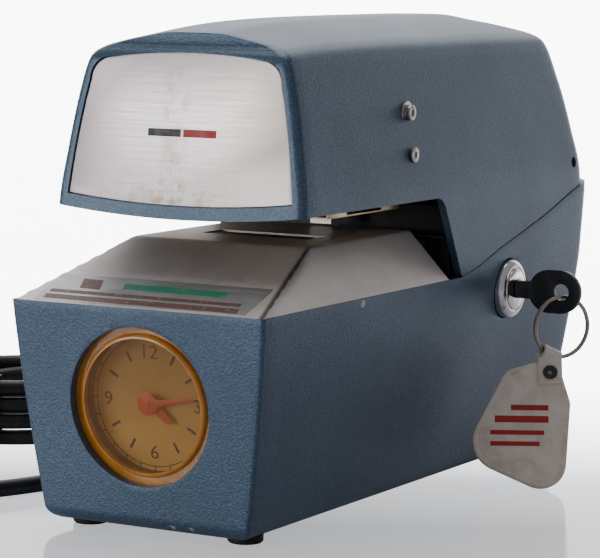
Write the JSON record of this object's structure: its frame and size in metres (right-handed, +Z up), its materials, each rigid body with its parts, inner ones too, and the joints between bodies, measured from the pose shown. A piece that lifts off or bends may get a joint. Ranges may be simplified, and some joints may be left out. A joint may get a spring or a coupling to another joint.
{
  "type": "time and date stamp machine",
  "caption": "Desk time stamp: tapered painted base with clock, stainless paper table, overhanging domed cover over a print head, side lock with key and fob, coiled mains lead",
  "frame": {"origin": "centre of the machine's footprint, on the plane of its rubber feet", "axes": "+X to the machine's right hand side with the lock, +Y from its front to its rear, +Z up"},
  "size_m": [0.3241, 0.3665, 0.199],
  "materials": {
    "blue_paint": "fine hammertone",
    "dark_sheet": "satin",
    "steel": "zinc plated",
    "stainless": "worn satin",
    "tan_plate": "yellow passivated",
    "brushed_aluminium": "brushed along its width",
    "chrome": "polished",
    "brass": "machined",
    "amber": "clear amber",
    "dial": "matt, printed",
    "red_hand": "satin",
    "rubber": "matt",
    "black_plastic": "satin",
    "cream_plastic": "yellowed",
    "cord_black": "satin",
    "ribbon_cloth": "inked",
    "copper_wound": "taped winding",
    "grey_plastic": "satin"
  },
  "bodies": {
    "machine": {"base_housing": "blue_paint", "bottom_plate": "dark_sheet", "bottom_screws": "steel", "rubber_feet": "rubber", "table_plate": "stainless", "clock_crystal": "amber", "dial_spacer": "black_plastic", "clock_dial": "dial", "clock_movement": "black_plastic", "movement_screws": "steel", "left_side_plate": "steel", "right_side_plate": "steel", "frame_spacers": "steel", "type_shaft": "steel", "type_motor": "steel", "spool_plate": "steel", "ribbon": "ribbon_cloth", "ribbon_pins": "steel", "ribbon_shield": "tan_plate", "throat_plate": "dark_sheet", "trip_switch": "black_plastic", "hammer_pivot": "steel", "solenoid_frame": "steel", "solenoid_coil": "copper_wound", "return_spring": "steel", "lock_bracket": "steel", "lock_barrel": "chrome", "lock_nut": "steel", "strain_relief": "black_plastic", "cord_lead": "cord_black", "cord_coil": "cord_black", "cord_tail": "cord_black", "cord_plug": "black_plastic", "cord_tie": "grey_plastic"},
    "cover": {"cover_shell": "blue_paint", "name_plate": "brushed_aluminium", "cover_screws": "steel"},
    "minute_wheel": {"minute_type_wheel": "brass", "type_drive_gear": "brass"},
    "hour_wheel": {"hour_type_wheel": "brass"},
    "date_wheel": {"date_type_wheel": "brass"},
    "month_wheel": {"month_type_wheel": "brass"},
    "year_wheel": {"year_type_wheel": "brass"},
    "idler": {"idler_gear": "steel"},
    "pinion": {"motor_pinion": "brass"},
    "spool_left": {"left_spool": "steel"},
    "spool_right": {"right_spool": "steel"},
    "hand_minute": {"minute_hand": "red_hand"},
    "hand_hour": {"hour_hand": "red_hand"},
    "hammer": {"hammer_arm": "steel", "hammer_platen": "rubber"},
    "plunger": {"solenoid_plunger": "steel"},
    "trip": {"trip_lever": "steel"},
    "lock_turning": {"lock_plug": "chrome", "lock_cam": "steel"},
    "key_body": {"key": "black_plastic"},
    "ring": {"key_ring": "steel"},
    "fob": {"fob_strap": "cream_plastic", "key_fob": "cream_plastic", "fob_eyelet": "black_plastic"}
  },
  "joints": [
    {"name": "cover_lift", "type": "slide", "parent": "machine", "child": "cover", "axis": [0, 0, 1], "range_m": [0, 0.12]},
    {"name": "minute_wheel_turn", "type": "hinge", "parent": "machine", "child": "minute_wheel", "pos_m": [0, -0.055, 0.139], "axis": [1, 0, 0], "continuous": true},
    {"name": "hour_wheel_turn", "type": "hinge", "parent": "machine", "child": "hour_wheel", "pos_m": [0, -0.055, 0.139], "axis": [1, 0, 0], "continuous": true},
    {"name": "date_wheel_turn", "type": "hinge", "parent": "machine", "child": "date_wheel", "pos_m": [0, -0.055, 0.139], "axis": [1, 0, 0], "continuous": true},
    {"name": "month_wheel_turn", "type": "hinge", "parent": "machine", "child": "month_wheel", "pos_m": [0, -0.055, 0.139], "axis": [1, 0, 0], "continuous": true},
    {"name": "year_wheel_turn", "type": "hinge", "parent": "machine", "child": "year_wheel", "pos_m": [0, -0.055, 0.139], "axis": [1, 0, 0], "continuous": true},
    {"name": "idler_turn", "type": "hinge", "parent": "machine", "child": "idler", "pos_m": [0.0214, -0.02, 0.149], "axis": [1, 0, 0], "continuous": true},
    {"name": "pinion_turn", "type": "hinge", "parent": "machine", "child": "pinion", "pos_m": [0.0214, 0.00558, 0.157], "axis": [1, 0, 0], "continuous": true},
    {"name": "left_spool_turn", "type": "hinge", "parent": "machine", "child": "spool_left", "pos_m": [-0.0243, -0.055, 0.172], "axis": [0, 1, 0], "continuous": true},
    {"name": "right_spool_turn", "type": "hinge", "parent": "machine", "child": "spool_right", "pos_m": [0.0243, -0.055, 0.172], "axis": [0, 1, 0], "continuous": true},
    {"name": "minute_hand_turn", "type": "hinge", "parent": "machine", "child": "hand_minute", "pos_m": [0, -0.14758, 0.0516], "axis": [0, 0.9961, 0.0887], "continuous": true},
    {"name": "hour_hand_turn", "type": "hinge", "parent": "machine", "child": "hand_hour", "pos_m": [0, -0.14758, 0.0516], "axis": [0, 0.9961, 0.0887], "continuous": true},
    {"name": "hammer_strike", "type": "hinge", "parent": "machine", "child": "hammer", "pos_m": [0, -0.002, 0.101], "axis": [1, 0, 0], "range_deg": [-11.5, 0], "stiffness_Nm_per_rad": 0.6, "springref_deg": 11.46},
    {"name": "plunger_pull", "type": "slide", "parent": "machine", "child": "plunger", "axis": [0, 0, -1], "range_m": [0, 0.0065], "deforming": ["return_spring"]},
    {"name": "trip_press", "type": "hinge", "parent": "machine", "child": "trip", "pos_m": [0, -0.006, 0.131], "axis": [1, 0, 0], "range_deg": [0, 14], "stiffness_Nm_per_rad": 0.02, "springref_deg": -2.86},
    {"name": "lock_turn", "type": "hinge", "parent": "machine", "child": "lock_turning", "pos_m": [0.05, 0.06, 0.081], "axis": [1, 0, 0], "range_deg": [-90, 0]},
    {"name": "key_pull", "type": "slide", "parent": "lock_turning", "child": "key_body", "axis": [1, 0, 0], "range_m": [0, 0.028]},
    {"name": "ring_swing", "type": "hinge", "parent": "key_body", "child": "ring", "pos_m": [0.08241, 0.06, 0.0774], "axis": [0.8192, -0.5736, 0], "range_deg": [-8, 8]},
    {"name": "fob_swing", "type": "hinge", "parent": "ring", "child": "fob", "pos_m": [0.07913, 0.05531, 0.05422], "axis": [0.5155, 0.7362, -0.4384], "range_deg": [-8, 8]}
  ],
  "couplings": [
    {"joint": "hour_wheel_turn", "follows": "minute_wheel_turn", "ratio": 0.041667},
    {"joint": "idler_turn", "follows": "minute_wheel_turn", "ratio": -0.65455},
    {"joint": "pinion_turn", "follows": "minute_wheel_turn", "ratio": 3},
    {"joint": "minute_hand_turn", "follows": "minute_wheel_turn", "ratio": 1},
    {"joint": "hour_hand_turn", "follows": "minute_wheel_turn", "ratio": 0.083333},
    {"joint": "right_spool_turn", "follows": "left_spool_turn", "ratio": 1},
    {"joint": "plunger_pull", "follows": "hammer_strike", "m_per_rad": -0.032}
  ]
}
